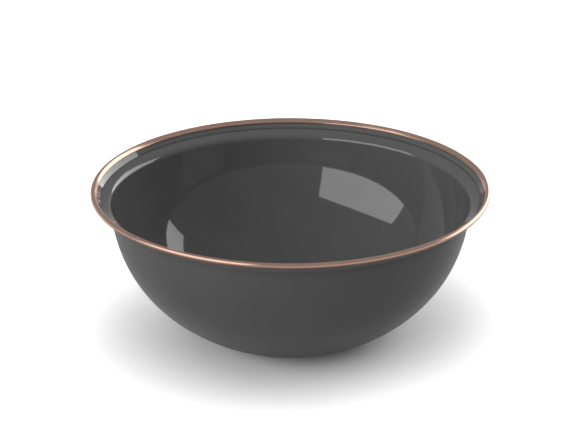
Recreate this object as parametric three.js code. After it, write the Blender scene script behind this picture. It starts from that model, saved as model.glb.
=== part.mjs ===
// Enamel bowl: a pressed steel body, enamelled inside and outside, with a copper coloured
// metal band crimped over its edge. Millimetres, +Z up, origin at the middle of the base.

import * as THREE from 'three';

// Overall sizes, outside to outside
const rimDiameter = 298;
const overallHeight = 115.7;
const baseDiameter = 102;

// Sheet and coats
const steelThickness = 0.8;
const groundCoatThickness = 0.12;
const outerCoatThickness = 0.2;
const innerCoatThickness = 0.2;
const layerClearance = 0.02;

// Wall: a rounded base corner, then one sweeping curve up to a lip that flares out
const baseCornerRadius = 26.4;
const baseCornerAngle = degrees(25.3);
const lowerWallPull = 51.1;
const upperWallPull = 44.9;
const wallLean = degrees(5.1);

// Lip: a gently sloping flange and a steeper edge, which meet in a crease
const flangeWidth = 7.4;
const flangeSlope = degrees(23);
const edgeBandWidth = 5;
const edgeBandSlope = degrees(48);
const shoulderRadius = 3.3;
const creaseRadius = 1;

// Metal band over the edge: a round bead with a flat leg that lies on the inside of the lip
const bandDiameter = 4;
const bandLegReach = 2.65;
const bandNoseRadius = 0.7;
const sheetReach = 0.6;
const slotClearance = 0.05;

// Facets
const turnSteps = 48;
const baseCornerSteps = 3;
const wallSteps = 7;
const shoulderSteps = 3;
const creaseSteps = 1;
const bandSteps = 10;
const bandNoseSteps = 2;

// Worked out from the sizes above
const bandRadius = bandDiameter / 2;
const bandCentre = new THREE.Vector2(rimDiameter / 2 - bandRadius, overallHeight - bandRadius);
const outerGroundStart = outerCoatThickness + layerClearance;
const steelStart = outerGroundStart + groundCoatThickness + layerClearance;
const innerGroundStart = steelStart + steelThickness + layerClearance;
const innerCoatStart = innerGroundStart + groundCoatThickness + layerClearance;
const sheetThickness = innerCoatStart + innerCoatThickness;

const steel = finish(0x8b8e90, 0.45, 1);
const groundEnamel = finish(0x23262c, 0.35, 0);
const satinEnamel = finish(0x474747, 0.42, 0);
const glossEnamel = finish(0x3f3f3e, 0.08, 0);
const copper = finish(0xc08a70, 0.18, 1);

function degrees(angle) {
  return THREE.MathUtils.degToRad(angle);
}

function finish(color, roughness, metalness) {
  return new THREE.MeshStandardMaterial({ color, roughness, metalness });
}

// Direction of travel up the outer face at a slope from the horizontal, in (radius, height)
function along(slope) {
  return new THREE.Vector2(Math.cos(slope), Math.sin(slope));
}

// Direction from the outer face towards the inside of the bowl at the same slope
function inward(slope) {
  return new THREE.Vector2(-Math.sin(slope), Math.cos(slope));
}

// A place on the outer face, with the direction in which the layers stack there
function station(point, slope) {
  return { point, inward: inward(slope) };
}

// An arc of the outer face from one slope to another. It bends up round a centre inside
// the bowl, or out round a centre outside it
function arcStations(start, fromSlope, toSlope, radius, steps) {
  const side = Math.sign(toSlope - fromSlope);
  const centre = start.clone().addScaledVector(inward(fromSlope), side * radius);
  const stations = [];
  for (let step = 0; step <= steps; step += 1) {
    const slope = THREE.MathUtils.lerp(fromSlope, toSlope, step / steps);
    const point = centre.clone().addScaledVector(inward(slope), -side * radius);
    stations.push(station(point, slope));
  }
  return stations;
}

// A fillet where two straight runs would meet in a corner
function filletStations(corner, fromSlope, toSlope, radius, steps) {
  const setback = radius * Math.tan(Math.abs(toSlope - fromSlope) / 2);
  const start = corner.clone().addScaledVector(along(fromSlope), -setback);
  return arcStations(start, fromSlope, toSlope, radius, steps);
}

// The sweep of the wall between the base corner and the shoulder, without its two ends
function wallStations(bottom, top) {
  const curve = new THREE.CubicBezierCurve(
    bottom.point,
    bottom.point.clone().addScaledVector(along(baseCornerAngle), lowerWallPull),
    top.point.clone().addScaledVector(along(Math.PI / 2 - wallLean), -upperWallPull),
    top.point,
  );
  const stations = [];
  for (let step = 1; step < wallSteps; step += 1) {
    const place = step / wallSteps;
    stations.push(station(curve.getPoint(place), curve.getTangent(place).angle()));
  }
  return stations;
}

// The outer face of the whole sheet, from the middle of the base to the edge in the band
function outerFace() {
  const wallSlope = Math.PI / 2 - wallLean;
  const edgeLine = bandCentre.clone().addScaledVector(inward(edgeBandSlope), -sheetThickness / 2);
  const crease = edgeLine.clone();
  crease.addScaledVector(along(edgeBandSlope), -edgeBandWidth / Math.cos(edgeBandSlope));
  const shoulder = crease.clone();
  shoulder.addScaledVector(along(flangeSlope), -flangeWidth / Math.cos(flangeSlope));

  const middle = station(new THREE.Vector2(0, 0), 0);
  const baseEdge = new THREE.Vector2(baseDiameter / 2, 0);
  const corner = arcStations(baseEdge, 0, baseCornerAngle, baseCornerRadius, baseCornerSteps);
  const bend = filletStations(shoulder, wallSlope, flangeSlope, shoulderRadius, shoulderSteps);
  const wall = wallStations(corner.at(-1), bend[0]);
  const outerCreaseRadius = creaseRadius + sheetThickness;
  const fold = filletStations(crease, flangeSlope, edgeBandSlope, outerCreaseRadius, creaseSteps);
  const edge = station(
    edgeLine.clone().addScaledVector(along(edgeBandSlope), sheetReach),
    edgeBandSlope,
  );
  return [middle, ...corner, ...wall, ...bend, ...fold, edge];
}

function turned(name, profile, material) {
  const geometry = new THREE.LatheGeometry(profile, turnSteps);
  geometry.rotateX(Math.PI / 2);
  const mesh = new THREE.Mesh(geometry, material);
  mesh.name = name;
  return mesh;
}

// One layer of the sheet, from a depth below the outer face and of one thickness
function layer(name, stations, start, thickness, material) {
  const at = (depth) => ({ point, inward }) => point.clone().addScaledVector(inward, depth);
  const outside = stations.map(at(start));
  const inside = stations.map(at(start + thickness)).reverse();
  return turned(name, [...outside, ...inside], material);
}

// Points on an arc about a centre, both in (run, rise) of the band's own section
function arcPoints(centre, radius, fromTurn, toTurn, steps) {
  const points = [];
  for (let step = 0; step <= steps; step += 1) {
    const turn = THREE.MathUtils.lerp(fromTurn, toTurn, step / steps);
    points.push([centre[0] + radius * Math.cos(turn), centre[1] + radius * Math.sin(turn)]);
  }
  return points;
}

// The band: a bead and its leg, with a slot between them that takes the edge of the sheet
function rimBand() {
  const slotHalf = sheetThickness / 2 + slotClearance;
  const slotEnd = sheetReach + slotClearance;
  const lip = Math.PI + Math.asin(slotHalf / bandRadius);
  const noseCentre = [bandNoseRadius - bandLegReach, bandRadius - bandNoseRadius];
  const section = [
    ...arcPoints([0, 0], bandRadius, lip, 2.5 * Math.PI, bandSteps),
    ...arcPoints(noseCentre, bandNoseRadius, Math.PI / 2, Math.PI, bandNoseSteps),
    [-bandLegReach, slotHalf],
    [slotEnd, slotHalf],
    [slotEnd, -slotHalf],
  ];
  section.push(section[0]);
  const profile = section.map(([run, rise]) => bandCentre.clone()
    .addScaledVector(along(edgeBandSlope), run)
    .addScaledVector(inward(edgeBandSlope), rise));
  return turned('rim_band', profile, copper);
}

const face = outerFace();
const bowl = new THREE.Group();
bowl.add(
  layer('outer_satin_coat', face, 0, outerCoatThickness, satinEnamel),
  layer('outer_ground_coat', face, outerGroundStart, groundCoatThickness, groundEnamel),
  layer('steel_body', face, steelStart, steelThickness, steel),
  layer('inner_ground_coat', face, innerGroundStart, groundCoatThickness, groundEnamel),
  layer('inner_gloss_coat', face, innerCoatStart, innerCoatThickness, glossEnamel),
  rimBand(),
);

export default bowl;
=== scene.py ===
"""Enamel bowl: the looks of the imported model, as an add-on that is run as a script."""
from collections import namedtuple
from math import asin, copysign, cos, pi, radians, sin, tan

import bmesh
import bpy
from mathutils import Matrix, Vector


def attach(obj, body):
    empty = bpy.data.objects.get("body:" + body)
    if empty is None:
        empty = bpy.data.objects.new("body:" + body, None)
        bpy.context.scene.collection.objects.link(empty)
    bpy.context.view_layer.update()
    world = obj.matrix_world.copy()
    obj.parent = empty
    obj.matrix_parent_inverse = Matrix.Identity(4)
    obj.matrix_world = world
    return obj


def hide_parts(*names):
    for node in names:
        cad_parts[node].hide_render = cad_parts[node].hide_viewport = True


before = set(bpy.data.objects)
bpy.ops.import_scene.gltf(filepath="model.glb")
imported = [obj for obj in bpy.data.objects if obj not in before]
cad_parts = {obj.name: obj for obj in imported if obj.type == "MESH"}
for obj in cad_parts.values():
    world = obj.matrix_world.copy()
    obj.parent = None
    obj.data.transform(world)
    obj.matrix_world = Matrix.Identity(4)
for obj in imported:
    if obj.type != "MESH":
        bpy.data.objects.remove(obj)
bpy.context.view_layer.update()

bl_info = {
    "name": "Enamel Bowl",
    "version": (1, 0, 0),
    "blender": (4, 5, 0),
    "location": "View3D > Sidebar > Enamel Bowl",
    "description": "Builds an enamelled steel bowl with a copper coloured edge band",
    "category": "Add Mesh",
}

BODY = "root"

# Steps round the bowl and along its outline
TURNS = 192
CORNER_STEPS = 10
WALL_STEPS = 40
SHOULDER_STEPS = 14
CREASE_STEPS = 6
BAND_STEPS = 48
NOSE_STEPS = 12

# Lengths of the outline that the panel doesn't show
LAYER_CLEARANCE = 0.00002
LOWER_WALL_PULL = 0.0511
UPPER_WALL_PULL = 0.0449
SHEET_REACH = 0.0006
SLOT_CLEARANCE = 0.00005

# Meshes: a ring of points just inside the edge of the base keeps it flat in smooth shading
BASE_RING_SHARE = 0.95
AXIS_RADIUS = 1e-9
MERGE_DISTANCE = 1e-7
SHARP_DEGREES = 40


def length(name, description, default):
    """A size in metres that the panel shows."""
    return bpy.props.FloatProperty(
        name=name, description=description, default=default,
        min=0.0, precision=5, unit="LENGTH", subtype="DISTANCE",
    )


def angle(name, description, default):
    """An angle that the panel shows in degrees."""
    return bpy.props.FloatProperty(
        name=name, description=description, default=radians(default), unit="ROTATION", subtype="ANGLE"
    )


def colour(name, description, default):
    """A linear colour that the panel shows as a swatch."""
    return bpy.props.FloatVectorProperty(
        name=name, description=description, default=default, min=0.0, max=1.0, size=3, subtype="COLOR"
    )


def level(name, description, default):
    """A light's brightness, where 1 looks white."""
    return bpy.props.FloatProperty(name=name, description=description, default=default, min=0.0)


class BowlSizes(bpy.types.PropertyGroup):
    """Sizes of the bowl, outside to outside."""

    rim_diameter: length("Rim diameter", "Across the outside of the edge band", 0.298)
    overall_height: length("Height", "From the table to the top of the edge band", 0.1157)
    base_diameter: length("Base diameter", "Across the flat that stands on the table", 0.102)
    band_diameter: length("Band diameter", "Across the round bead of the edge band", 0.004)
    leg_reach: length("Leg reach", "From the middle of the bead to the end of the leg", 0.00265)
    nose_radius: length("Nose radius", "Rounding at the end of the leg", 0.0007)
    steel: length("Steel", "Thickness of the pressed sheet", 0.0008)
    ground_coat: length("Ground coat", "Thickness of each ground coat", 0.00012)
    outer_coat: length("Outer coat", "Thickness of the satin coat", 0.0002)
    inner_coat: length("Inner coat", "Thickness of the gloss coat", 0.0002)
    corner_radius: length("Base corner", "Radius from the base to the wall", 0.0264)
    corner_angle: angle("Base corner angle", "How far the base corner turns", 25.3)
    wall_lean: angle("Wall lean", "Lean of the wall just under the lip", 5.1)
    flange_width: length("Flange width", "Lower band of the lip, seen from above", 0.0074)
    flange_slope: angle("Flange slope", "Slope of the lower band of the lip", 23.0)
    edge_width: length("Edge width", "Upper band of the lip, seen from above", 0.005)
    edge_slope: angle("Edge slope", "Slope of the upper band of the lip", 48.0)
    shoulder_radius: length("Shoulder radius", "Bend from the wall to the lip", 0.0033)
    crease_radius: length("Crease radius", "Bend between the two bands of the lip", 0.001)


class BowlColours(bpy.types.PropertyGroup):
    """Linear colours of the finishes."""

    satin: colour("Satin enamel", "Outside coat", (0.044, 0.044, 0.044))
    gloss: colour("Gloss enamel", "Inside coat", (0.1, 0.1, 0.1))
    ground: colour("Ground enamel", "Coat under the finish coats", (0.012, 0.013, 0.016))
    steel: colour("Sheet steel", "Pressed sheet under the enamel", (0.46, 0.46, 0.47))
    copper: colour("Copper band", "Rolled band over the edge", (0.92, 0.60, 0.48))
    floor: colour("Floor", "Table under the bowl", (0.95, 0.95, 0.95))


class BowlStudio(bpy.types.PropertyGroup):
    """Light levels of the stage."""

    dome: level("Dome", "Brightness of the surroundings overhead", 0.27)
    horizon: level("Horizon", "Brightness of the surroundings at the horizon", 0.6)
    under: level("Under", "Brightness of the surroundings straight down", 0.15)
    left_panel: level("Left panel", "Brightness of the soft light at the front left", 3.5)
    right_panel: level("Right panel", "Brightness of the soft light at the back right", 3.4)
    left_sheen: level("Left sheen", "Brightness of the left light on the edge band", 0.95)
    right_sheen: level("Right sheen", "Brightness of the right light on the edge band", 1.4)
    overhead: level("Overhead", "Brightness of the soft light over the bowl", 1.15)
    paper: level("Paper light", "Brightness of the wide light that falls on the floor only", 0.75)
    paper_core: level("Paper core", "Brightness of the small light that falls on the floor only", 2.45)


Station = namedtuple("Station", "point inward")


def along(slope):
    """Unit step along a line of this slope, as (radius, height)."""
    return Vector((cos(slope), sin(slope)))


def inward(slope):
    """Unit step from a line of this slope towards the inside of the bowl."""
    return Vector((-sin(slope), cos(slope)))


def bend(start, from_slope, to_slope, radius, steps):
    """Stations of an arc that leaves start at one slope and ends at another."""
    side = copysign(1.0, to_slope - from_slope)
    centre = start + inward(from_slope) * side * radius
    slopes = [from_slope + (to_slope - from_slope) * i / steps for i in range(steps + 1)]
    return [Station(centre - inward(s) * side * radius, inward(s)) for s in slopes]


def fillet(corner, from_slope, to_slope, radius, steps):
    """Stations of an arc that rounds a corner between two straight lines."""
    setback = radius * tan(abs(to_slope - from_slope) / 2)
    return bend(corner - along(from_slope) * setback, from_slope, to_slope, radius, steps)


def wall(bottom, bottom_slope, top, top_slope):
    """Stations of the curved wall between the base corner and the shoulder."""
    lower = bottom + along(bottom_slope) * LOWER_WALL_PULL
    upper = top - along(top_slope) * UPPER_WALL_PULL
    stations = []
    for i in range(1, WALL_STEPS):
        t = i / WALL_STEPS
        u = 1 - t
        point = bottom * u**3 + lower * 3 * u * u * t + upper * 3 * u * t * t + top * t**3
        run = (lower - bottom) * u * u + (upper - lower) * 2 * u * t + (top - upper) * t * t
        run.normalize()
        stations.append(Station(point, Vector((-run.y, run.x))))
    return stations


def layer_starts(sizes):
    """Depth of each layer under the outer face, and the thickness of the whole sheet."""
    starts = {"outer_coat": 0.0}
    starts["outer_ground"] = sizes.outer_coat + LAYER_CLEARANCE
    starts["steel"] = starts["outer_ground"] + sizes.ground_coat + LAYER_CLEARANCE
    starts["inner_ground"] = starts["steel"] + sizes.steel + LAYER_CLEARANCE
    starts["inner_coat"] = starts["inner_ground"] + sizes.ground_coat + LAYER_CLEARANCE
    starts["sheet"] = starts["inner_coat"] + sizes.inner_coat
    return starts


def band_centre(sizes):
    """Middle of the edge band's round section, as (radius, height)."""
    radius = sizes.band_diameter / 2
    return Vector((sizes.rim_diameter / 2 - radius, sizes.overall_height - radius))


def lip_corners(sizes):
    """On the lip's outer face: the band's middle, and where a sharp crease and shoulder would be."""
    edge = band_centre(sizes) - inward(sizes.edge_slope) * layer_starts(sizes)["sheet"] / 2
    crease = edge - along(sizes.edge_slope) * sizes.edge_width / cos(sizes.edge_slope)
    shoulder = crease - along(sizes.flange_slope) * sizes.flange_width / cos(sizes.flange_slope)
    return edge, crease, shoulder


def inner_crease(sizes):
    """Where the two bands of the lip meet on the inside, as (radius, height)."""
    middle = (sizes.edge_slope + sizes.flange_slope) / 2
    depth = layer_starts(sizes)["sheet"] / cos((sizes.edge_slope - sizes.flange_slope) / 2)
    return lip_corners(sizes)[1] + inward(middle) * depth


def outer_face(sizes):
    """Stations of the bowl's outer face, from the middle of the base to the edge."""
    wall_slope = pi / 2 - sizes.wall_lean
    outer_crease_radius = sizes.crease_radius + layer_starts(sizes)["sheet"]
    edge_line, crease, shoulder = lip_corners(sizes)
    foot = Vector((sizes.base_diameter / 2, 0.0))
    corner = bend(foot, 0.0, sizes.corner_angle, sizes.corner_radius, CORNER_STEPS)
    turn = fillet(shoulder, wall_slope, sizes.flange_slope, sizes.shoulder_radius, SHOULDER_STEPS)
    fold = fillet(crease, sizes.flange_slope, sizes.edge_slope, outer_crease_radius, CREASE_STEPS)
    middle = Station(Vector((0.0, 0.0)), inward(0.0))
    flat = Station(foot * BASE_RING_SHARE, inward(0.0))
    edge = Station(edge_line + along(sizes.edge_slope) * SHEET_REACH, inward(sizes.edge_slope))
    side = wall(corner[-1].point, sizes.corner_angle, turn[0].point, wall_slope)
    return [middle, flat, *corner, *side, *turn, *fold, edge]


def layer_outline(sizes, start, thickness):
    """Closed outline of one layer of the sheet."""
    stations = outer_face(sizes)
    outside = [s.point + s.inward * start for s in stations]
    inside = [s.point + s.inward * (start + thickness) for s in stations]
    return outside + inside[::-1]


def arc(centre, radius, first, last, steps):
    """Points on an arc about a centre."""
    turns = [first + (last - first) * i / steps for i in range(steps + 1)]
    return [centre + Vector((cos(t), sin(t))) * radius for t in turns]


def band_outline(sizes):
    """Closed outline of the edge band: a bead and its leg, with a slot that holds the sheet's edge."""
    radius, nose, reach = sizes.band_diameter / 2, sizes.nose_radius, sizes.leg_reach
    gap = layer_starts(sizes)["sheet"] / 2 + SLOT_CLEARANCE
    end = SHEET_REACH + SLOT_CLEARANCE
    section = [
        *arc(Vector((0.0, 0.0)), radius, pi + asin(gap / radius), 2.5 * pi, BAND_STEPS),
        *arc(Vector((nose - reach, radius - nose)), nose, pi / 2, pi, NOSE_STEPS),
        Vector((-reach, gap)),
        Vector((end, gap)),
        Vector((end, -gap)),
    ]
    centre = band_centre(sizes)
    return [centre + along(sizes.edge_slope) * p.x + inward(sizes.edge_slope) * p.y for p in section]


def turned(name, outline):
    """A mesh object made by turning a closed outline about the upright axis."""
    mesh = bpy.data.meshes.new(name)
    model = bmesh.new()
    ring = [model.verts.new((p.x, 0.0, p.y)) for p in outline]
    pairs = zip(ring, ring[1:] + ring[:1])
    edges = [model.edges.new((a, b)) for a, b in pairs if max(a.co.x, b.co.x) > AXIS_RADIUS]
    bmesh.ops.spin(
        model, geom=ring + edges, cent=(0, 0, 0), axis=(0, 0, 1), angle=2 * pi, steps=TURNS, use_merge=True
    )
    bmesh.ops.remove_doubles(model, verts=model.verts, dist=MERGE_DISTANCE)
    bmesh.ops.recalc_face_normals(model, faces=model.faces)
    model.to_mesh(mesh)
    model.free()
    mesh.shade_smooth()
    mesh.set_sharp_from_angle(angle=radians(SHARP_DEGREES))
    piece = bpy.data.objects.new(name, mesh)
    bpy.context.scene.collection.objects.link(piece)
    return piece


class Wire:
    """A node's output that can stand in sums and products, which add Math nodes."""

    def __init__(self, nodes, socket):
        self.nodes = nodes
        self.socket = socket

    def math(self, operation, *values):
        return self.nodes.add("ShaderNodeMath", {"operation": operation}, dict(enumerate(values)))

    def root(self):
        return self.math("SQRT", self)

    def __add__(self, other):
        return self.math("ADD", self, other)

    def __radd__(self, other):
        return self.math("ADD", other, self)

    def __sub__(self, other):
        return self.math("SUBTRACT", self, other)

    def __rsub__(self, other):
        return self.math("SUBTRACT", other, self)

    def __mul__(self, other):
        return self.math("MULTIPLY", self, other)

    def __rmul__(self, other):
        return self.math("MULTIPLY", other, self)


class Nodes:
    """Adds nodes to a material's or a world's tree."""

    def __init__(self, tree):
        self.tree = tree
        tree.nodes.clear()

    def add(self, kind, settings=None, sockets=None, output=0):
        """A node of this type: its settings are set first, then its sockets are filled or linked."""
        node = self.tree.nodes.new(kind)
        for key, value in (settings or {}).items():
            setattr(node, key, value)
        for key, value in (sockets or {}).items():
            if isinstance(value, Wire):
                self.tree.links.new(value.socket, node.inputs[key])
            else:
                node.inputs[key].default_value = value
        return Wire(self, node.outputs[output]) if len(node.outputs) else None

    def place(self):
        """The surface point in the bowl's own metres."""
        return self.add("ShaderNodeTexCoord", output="Object")

    def split(self, place):
        """The three numbers of a point."""
        first = self.add("ShaderNodeSeparateXYZ", None, {0: place})
        return [Wire(self, out) for out in first.socket.node.outputs]

    def section(self, place):
        """A point's distance from the bowl's axis, and its height."""
        x, y, z = self.split(place)
        return (x * x + y * y).root(), z

    def noise(self, place, scale, detail=2.0, roughness=0.5):
        """A value that wanders about one half over the surface."""
        sockets = {"Vector": place, "Scale": scale, "Detail": detail, "Roughness": roughness}
        return self.add("ShaderNodeTexNoise", None, sockets)

    def ramp(self, value, low, high, to_low=0.0, to_high=1.0):
        """A value carried from one range to another, and held at the ends."""
        sockets = {"Value": value, "From Min": low, "From Max": high, "To Min": to_low, "To Max": to_high}
        return self.add("ShaderNodeMapRange", {"clamp": True, "interpolation_type": "SMOOTHSTEP"}, sockets)

    def blend(self, factor, first, second):
        """A colour between two colours."""
        sockets = {0: factor, 6: first, 7: second}
        return self.add("ShaderNodeMix", {"data_type": "RGBA", "clamp_factor": True}, sockets, output=2)

    def mottle(self, pattern, tone, dark, pale):
        """A written colour that goes a little darker and paler with a noise."""
        return self.blend(self.ramp(pattern, *NOISE_RANGE), shade(tone, dark), shade(tone, pale))

    def bump(self, height, distance):
        """A surface direction that follows a height."""
        return self.add("ShaderNodeBump", None, {"Height": height, "Distance": distance})

    def shader(self, sockets):
        """A surface shader with these sockets filled or linked."""
        return self.add("ShaderNodeBsdfPrincipled", None, sockets)

    def between(self, factor, first, second):
        """A shader between two shaders."""
        return self.add("ShaderNodeMixShader", None, {0: factor, 1: first, 2: second})

    def end(self, shader):
        """Ends the tree in a shader."""
        self.add("ShaderNodeOutputMaterial", None, {"Surface": shader})

    def surface(self, sockets):
        """Ends the tree in one surface shader."""
        self.end(self.shader(sockets))


# Finishes: how fine their patterns are, in waves to a metre, or to a radian round the band
SATIN_GRAIN = 1500.0
SATIN_PEEL = 420.0
SATIN_WEAR = 90.0
SATIN_CLOUD = 22.0
GLOSS_GRAIN = 1200.0
GLOSS_PEEL = 260.0
GLOSS_CLOUD = 30.0
GROUND_BUBBLES = 900.0
STEEL_LINES = (18.0, 900.0, 900.0)
BAND_LINES = 2600.0
BAND_LINES_ROUND = 9.0
BAND_CLOUD = 70.0

# How high their bumps stand
SATIN_BUMP = 0.00001
GLOSS_BUMP = 0.000001
GROUND_BUMP = 0.00002
STEEL_BUMP = 0.000004
BAND_BUMP = 0.0000015

# Heights between which the satin coat is worn at the foot and is dulled as painted shade low down and
# under the lip, and distances from the crease over which the gloss coat takes painted shade
WEAR_TOP = 0.0012
FOOT_SHADE_BOTTOM = 0.005
FOOT_SHADE_TOP = 0.048
LIP_SHADE_BOTTOM = 0.097
LIP_SHADE_FULL = 0.105
CREASE_SHADE_MIDDLE = 0.0002
CREASE_SHADE_EDGE = 0.0016

# Most of a noise lies between these values, and a bubble between these shares of its cell
NOISE_RANGE = (0.3, 0.7)
BUBBLE_RANGE = (0.12, 0.35)


def finish(name):
    """A new material and the nodes that it is built from."""
    material = bpy.data.materials.new(name)
    material.use_nodes = True
    return material, Nodes(material.node_tree)


def shade(tone, amount):
    """A written colour made lighter or darker."""
    return (*(min(1.0, part * amount) for part in tone), 1.0)


def satin_enamel(tone):
    """Outside coat: fine grained satin glass, worn at the foot, and mixed with a dull shader low down and
    under the lip as painted shade.
    """
    material, nodes = finish("satin enamel")
    place = nodes.place()
    grain = nodes.noise(place, SATIN_GRAIN, detail=3.0, roughness=0.6)
    cloud = nodes.noise(place, SATIN_CLOUD, detail=3.0)
    peel = nodes.noise(place, SATIN_PEEL)
    height = nodes.split(place)[2]
    scuffs = nodes.noise(place, SATIN_WEAR, detail=4.0, roughness=0.65)
    worn = nodes.ramp(height, 0.0, WEAR_TOP, to_low=1.0, to_high=0.0) * scuffs
    # Painted shade: low down and under the lip the coat is mixed towards a dull shader, so it looks darker
    # where shade falls
    foot_painted_shade = nodes.ramp(height, FOOT_SHADE_BOTTOM, FOOT_SHADE_TOP, to_low=0.75, to_high=0.0)
    lip_painted_shade = nodes.ramp(height, LIP_SHADE_BOTTOM, LIP_SHADE_FULL, to_low=0.0, to_high=0.6)
    pale = nodes.mottle(grain * 0.75 + cloud * 0.25, tone, 0.9, 1.1)
    satin = nodes.shader({
        "Base Color": nodes.blend(worn * 0.5, pale, shade(tone, 2.2)),
        "Roughness": 0.34 + grain * 0.08 + worn * 0.2,
        "IOR": 1.55,
        "Sheen Weight": 0.18,
        "Sheen Roughness": 0.35,
        "Normal": nodes.bump(grain * 0.6 + peel * 0.4, SATIN_BUMP),
    })
    # A dull shader with little shine that stands in for shade
    shade_stand_in_shader = nodes.shader({"Base Color": pale, "Roughness": 0.8, "Specular IOR Level": 0.1})
    nodes.end(nodes.between(foot_painted_shade + lip_painted_shade, satin, shade_stand_in_shader))
    return material


def gloss_enamel(tone, crease):
    """Inside coat: clear bright glass with a slight ripple, and painted shade along the crease."""
    material, nodes = finish("gloss enamel")
    place = nodes.place()
    grain = nodes.noise(place, GLOSS_GRAIN)
    cloud = nodes.noise(place, GLOSS_CLOUD, detail=3.0)
    peel = nodes.noise(place, GLOSS_PEEL)
    radius, height = nodes.section(place)
    across, up = radius - crease.x, height - crease.y
    from_crease = (across * across + up * up).root()
    # Painted shade: the colour goes darker within a few millimetres of the crease
    crease_shade = nodes.ramp(from_crease, CREASE_SHADE_MIDDLE, CREASE_SHADE_EDGE, to_low=1.0, to_high=0.0)
    pale = nodes.mottle(grain * 0.5 + cloud * 0.5, tone, 0.94, 1.06)
    nodes.surface({
        "Base Color": nodes.blend(crease_shade * 0.5, pale, shade(tone, 0.2)),
        "Roughness": 0.03 + cloud * 0.03,
        "IOR": 1.5,
        "Normal": nodes.bump(peel, GLOSS_BUMP),
    })
    return material


def ground_enamel(tone):
    """Ground coat: dark glass full of fine bubbles, which grips the steel."""
    material, nodes = finish("ground enamel")
    sockets = {"Vector": nodes.place(), "Scale": GROUND_BUBBLES}
    bubbles = nodes.add("ShaderNodeTexVoronoi", {"feature": "F1"}, sockets)
    pits = nodes.ramp(bubbles, *BUBBLE_RANGE)
    nodes.surface({
        "Base Color": nodes.blend(pits, shade(tone, 0.6), shade(tone, 1.15)),
        "Roughness": 0.5 - pits * 0.2,
        "Normal": nodes.bump(pits, GROUND_BUMP),
    })
    return material


def sheet_steel(tone):
    """Pressed sheet: grey metal with fine rolling lines."""
    material, nodes = finish("sheet steel")
    drawn = nodes.add("ShaderNodeMapping", None, {"Vector": nodes.place(), "Scale": STEEL_LINES})
    lines = nodes.noise(drawn, 1.0, detail=4.0, roughness=0.6)
    nodes.surface({
        "Base Color": nodes.blend(lines, shade(tone, 0.85), shade(tone, 1.1)),
        "Metallic": 1.0,
        "Roughness": 0.3 + lines * 0.2,
        "Normal": nodes.bump(lines, STEEL_BUMP),
    })
    return material


def copper_band(tone):
    """Edge band: polished copper coloured metal with fine lines drawn round it."""
    material, nodes = finish("copper band")
    place = nodes.place()
    x, y, height = nodes.split(place)
    turn = y.math("ARCTAN2", y, x)
    radius = nodes.section(place)[0]
    strip = nodes.add("ShaderNodeCombineXYZ", None, {
        "X": turn * BAND_LINES_ROUND,
        "Y": radius * BAND_LINES,
        "Z": height * BAND_LINES,
    })
    lines = nodes.noise(strip, 1.0, detail=3.0, roughness=0.6)
    cloud = nodes.noise(place, BAND_CLOUD, detail=3.0)
    nodes.surface({
        "Base Color": nodes.mottle(lines * 0.5 + cloud * 0.5, tone, 0.94, 1.05),
        "Metallic": 1.0,
        "Roughness": 0.1 + lines * 0.06 + cloud * 0.04,
        "Normal": nodes.bump(lines, BAND_BUMP),
    })
    return material


def fit(piece, material, node):
    """Dresses a piece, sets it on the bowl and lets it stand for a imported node."""
    piece.data.materials.append(material)
    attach(piece, BODY)
    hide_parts(node)


class ENAMELBOWL_OT_outer_coat(bpy.types.Operator):
    """Add the satin coat on the outside"""

    bl_idname = "enamel_bowl.outer_coat"
    bl_label = "Outer Coat"

    def execute(self, context):
        sizes = context.scene.bowl_sizes
        starts = layer_starts(sizes)
        piece = turned("outer_satin_enamel", layer_outline(sizes, starts["outer_coat"], sizes.outer_coat))
        fit(piece, satin_enamel(context.scene.bowl_colours.satin), "outer_satin_coat")
        return {"FINISHED"}


class ENAMELBOWL_OT_inner_coat(bpy.types.Operator):
    """Add the gloss coat on the inside"""

    bl_idname = "enamel_bowl.inner_coat"
    bl_label = "Inner Coat"

    def execute(self, context):
        sizes = context.scene.bowl_sizes
        starts = layer_starts(sizes)
        piece = turned("inner_gloss_enamel", layer_outline(sizes, starts["inner_coat"], sizes.inner_coat))
        material = gloss_enamel(context.scene.bowl_colours.gloss, inner_crease(sizes))
        fit(piece, material, "inner_gloss_coat")
        return {"FINISHED"}


class ENAMELBOWL_OT_ground_coats(bpy.types.Operator):
    """Add the ground coat on each side of the steel"""

    bl_idname = "enamel_bowl.ground_coats"
    bl_label = "Ground Coats"

    def execute(self, context):
        sizes = context.scene.bowl_sizes
        starts = layer_starts(sizes)
        material = ground_enamel(context.scene.bowl_colours.ground)
        for side in ("outer", "inner"):
            outline = layer_outline(sizes, starts[side + "_ground"], sizes.ground_coat)
            fit(turned(side + "_ground_enamel", outline), material, side + "_ground_coat")
        return {"FINISHED"}


class ENAMELBOWL_OT_steel_body(bpy.types.Operator):
    """Add the pressed steel sheet under the enamel"""

    bl_idname = "enamel_bowl.steel_body"
    bl_label = "Steel Body"

    def execute(self, context):
        sizes = context.scene.bowl_sizes
        piece = turned("pressed_steel", layer_outline(sizes, layer_starts(sizes)["steel"], sizes.steel))
        fit(piece, sheet_steel(context.scene.bowl_colours.steel), "steel_body")
        return {"FINISHED"}


class ENAMELBOWL_OT_edge_band(bpy.types.Operator):
    """Add the metal band over the edge"""

    bl_idname = "enamel_bowl.edge_band"
    bl_label = "Edge Band"

    def execute(self, context):
        piece = turned("copper_edge_band", band_outline(context.scene.bowl_sizes))
        fit(piece, copper_band(context.scene.bowl_colours.copper), "rim_band")
        return {"FINISHED"}


# Camera, in front of the bowl
CAMERA_PLACE = (0.00195, -1.5042, 0.7096)
CAMERA_PITCH = 22.478
CAMERA_LENS = 132.97

# Floor, which turns white to the camera between two distances from the bowl's axis
FLOOR_SIZE = 12.0
WHITE_START = 0.6
WHITE_FULL = 1.2
WHITE = (1.0, 1.0, 1.0, 1.0)

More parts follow.
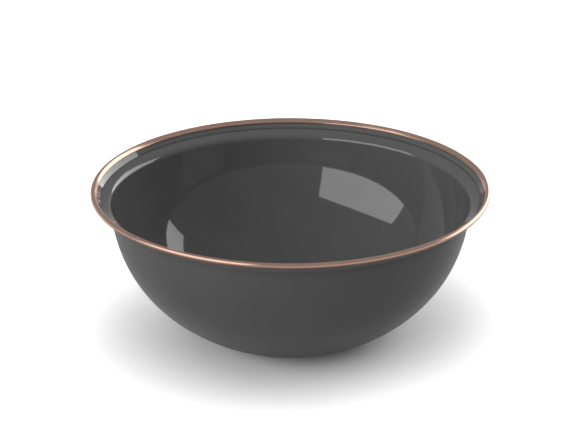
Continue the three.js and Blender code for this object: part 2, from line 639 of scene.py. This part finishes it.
# Soft panels: azimuths in degrees turn from the camera to the right, and a shift is to the right
Panel = namedtuple("Panel", "azimuth shift width bottom top")
PANEL_DISTANCE = 1.5
LEFT_PANEL = Panel(azimuth=-50.0, shift=-0.22, width=2.02, bottom=0.0, top=1.14)
RIGHT_PANEL = Panel(azimuth=136.0, shift=-0.21, width=1.64, bottom=0.0, top=1.14)
LEFT_SHEEN = Panel(azimuth=-50.0, shift=-0.22, width=2.02, bottom=0.3, top=2.3)
RIGHT_SHEEN = Panel(azimuth=136.0, shift=-0.34, width=1.9, bottom=0.0, top=1.2)

# Soft discs over the bowl
DISC_HEIGHT = 2.0
OVERHEAD_SIZE = 2.3
PAPER_LIGHT_SIZE = 5.7
PAPER_CORE_SIZE = 1.3
PAPER_CORE_FORWARD = 0.45

# Surroundings: the glow of the horizon ends where a direction of length one rises this far
GLOW_BOTTOM = -0.9
GLOW_TOP = 0.22


def white_floor(tone):
    """Floor: plain paper that takes the shadow, and white where the camera sees it far from the bowl."""
    material, nodes = finish("white floor")
    radius = nodes.section(nodes.place())[0]
    rays = ("Is Camera Ray", "Is Glossy Ray", "Is Transmission Ray")
    seen = sum(nodes.add("ShaderNodeLightPath", output=ray) for ray in rays)
    far = nodes.ramp(radius, WHITE_START, WHITE_FULL) * seen
    paper = nodes.shader({"Base Color": shade(tone, 1.0), "Roughness": 1.0, "Specular IOR Level": 0.0})
    white = nodes.add("ShaderNodeEmission", None, {"Color": WHITE, "Strength": 1.0})
    nodes.end(nodes.between(far, paper, white))
    return material


def square_floor(material):
    """A flat floor that isn't mirrored in the bowl, where the surroundings stand for it."""
    half = FLOOR_SIZE / 2
    corners = [(-half, -half, 0), (half, -half, 0), (half, half, 0), (-half, half, 0)]
    mesh = bpy.data.meshes.new("floor")
    mesh.from_pydata(corners, [], [(0, 1, 2, 3)])
    mesh.materials.append(material)
    floor = bpy.data.objects.new("floor", mesh)
    floor.visible_glossy = False
    bpy.context.scene.collection.objects.link(floor)
    return floor


def soft_light(name, lamp, place, turn):
    """A light that the camera doesn't see."""
    light = bpy.data.objects.new(name, lamp)
    light.location = place
    light.rotation_euler = turn
    light.visible_camera = False
    bpy.context.scene.collection.objects.link(light)
    return light


def power(brightness, area):
    """Watts of a flat light that looks this bright all over."""
    return brightness * pi * area


def soft_panel(name, panel, brightness):
    """An upright soft light that faces the bowl, a little to one side of it."""
    lamp = bpy.data.lights.new(name, "AREA")
    lamp.shape = "RECTANGLE"
    lamp.size = panel.width
    lamp.size_y = panel.top - panel.bottom
    lamp.energy = power(brightness, lamp.size * lamp.size_y)
    turn = radians(panel.azimuth)
    away = Vector((sin(turn), -cos(turn), 0.0)) * PANEL_DISTANCE
    aside = Vector((cos(turn), sin(turn), 0.0)) * panel.shift
    middle = Vector((0.0, 0.0, (panel.bottom + panel.top) / 2))
    return soft_light(name, lamp, away + aside + middle, (pi / 2, 0.0, turn))


def soft_disc(name, size, brightness, forward=0.0):
    """A round soft light that shines straight down and isn't mirrored in the bowl.

    Discs overlap, so they are sampled as lamps alone, or one would hide another's share.
    """
    lamp = bpy.data.lights.new(name, "AREA")
    lamp.shape = "DISK"
    lamp.size = size
    lamp.energy = power(brightness, pi * size**2 / 4)
    lamp.cycles.use_multiple_importance_sampling = False
    light = soft_light(name, lamp, (0.0, -forward, DISC_HEIGHT), (0.0, 0.0, 0.0))
    light.visible_glossy = False
    return light


def shine_on(light, receiver, state="INCLUDE"):
    """Lets a light fall on one object alone, or on all but that one."""
    group = bpy.data.collections.new(light.name)
    group.objects.link(receiver)
    group.collection_objects[0].light_linking.link_state = state
    light.light_linking.receiver_collection = group


def surroundings(studio):
    """A world that is brightest at the horizon, even overhead and darkest straight down."""
    world = bpy.data.worlds.new("studio")
    world.use_nodes = True
    nodes = Nodes(world.node_tree)
    rise = nodes.split(nodes.add("ShaderNodeTexCoord", output="Generated"))[2]
    below = nodes.ramp(rise, GLOW_BOTTOM, 0.0, studio.under, studio.horizon)
    glow = below - nodes.ramp(rise, 0.0, GLOW_TOP, 0.0, studio.horizon - studio.dome)
    light = nodes.add("ShaderNodeBackground", None, {"Color": WHITE, "Strength": glow})
    nodes.add("ShaderNodeOutputWorld", None, {"Surface": light})
    return world


def photo_camera():
    """A camera at the photo's viewing angle."""
    lens = bpy.data.cameras.new("camera")
    lens.lens = CAMERA_LENS
    camera = bpy.data.objects.new("camera", lens)
    camera.location = CAMERA_PLACE
    camera.rotation_euler = (radians(90 - CAMERA_PITCH), 0.0, 0.0)
    bpy.context.scene.collection.objects.link(camera)
    return camera


class ENAMELBOWL_OT_stage(bpy.types.Operator):
    """Add the floor, the soft lights and the camera"""

    bl_idname = "enamel_bowl.stage"
    bl_label = "Stage"

    def execute(self, context):
        scene = context.scene
        studio = scene.bowl_studio
        floor = square_floor(white_floor(scene.bowl_colours.floor))

        band = scene.objects["copper_edge_band"]
        shine_on(soft_panel("left_panel", LEFT_PANEL, studio.left_panel), band, "EXCLUDE")
        shine_on(soft_panel("right_panel", RIGHT_PANEL, studio.right_panel), band, "EXCLUDE")
        shine_on(soft_panel("left_sheen", LEFT_SHEEN, studio.left_sheen), band)
        shine_on(soft_panel("right_sheen", RIGHT_SHEEN, studio.right_sheen), band)
        soft_disc("overhead", OVERHEAD_SIZE, studio.overhead)
        shine_on(soft_disc("paper_light", PAPER_LIGHT_SIZE, studio.paper), floor)
        core = soft_disc("paper_core", PAPER_CORE_SIZE, studio.paper_core, PAPER_CORE_FORWARD)
        shine_on(core, floor)

        scene.world = surroundings(studio)
        scene.camera = photo_camera()
        scene.view_settings.view_transform = "Standard"
        return {"FINISHED"}


OPERATORS = (
    ENAMELBOWL_OT_outer_coat,
    ENAMELBOWL_OT_inner_coat,
    ENAMELBOWL_OT_ground_coats,
    ENAMELBOWL_OT_steel_body,
    ENAMELBOWL_OT_edge_band,
    ENAMELBOWL_OT_stage,
)
GROUPS = {"bowl_sizes": BowlSizes, "bowl_colours": BowlColours, "bowl_studio": BowlStudio}


class ENAMELBOWL_PT_panel(bpy.types.Panel):
    """Lists the bowl's sizes, colours, light levels and pieces"""

    bl_idname = "ENAMELBOWL_PT_panel"
    bl_label = "Enamel Bowl"
    bl_space_type = "VIEW_3D"
    bl_region_type = "UI"
    bl_category = "Enamel Bowl"

    def draw(self, context):
        for name, group in GROUPS.items():
            box = self.layout.box()
            for key in group.__annotations__:
                box.prop(getattr(context.scene, name), key)
        for operator in OPERATORS:
            self.layout.operator(operator.bl_idname)


CLASSES = (*GROUPS.values(), *OPERATORS, ENAMELBOWL_PT_panel)


def register():
    for cls in CLASSES:
        bpy.utils.register_class(cls)
    for name, group in GROUPS.items():
        setattr(bpy.types.Scene, name, bpy.props.PointerProperty(type=group))


def unregister():
    for name in GROUPS:
        delattr(bpy.types.Scene, name)
    for cls in reversed(CLASSES):
        bpy.utils.unregister_class(cls)


def main():
    """Builds every piece and the stage."""
    register()
    bpy.ops.enamel_bowl.outer_coat()
    bpy.ops.enamel_bowl.inner_coat()
    bpy.ops.enamel_bowl.ground_coats()
    bpy.ops.enamel_bowl.steel_body()
    bpy.ops.enamel_bowl.edge_band()
    bpy.ops.enamel_bowl.stage()


if __name__ == "__main__":
    main()
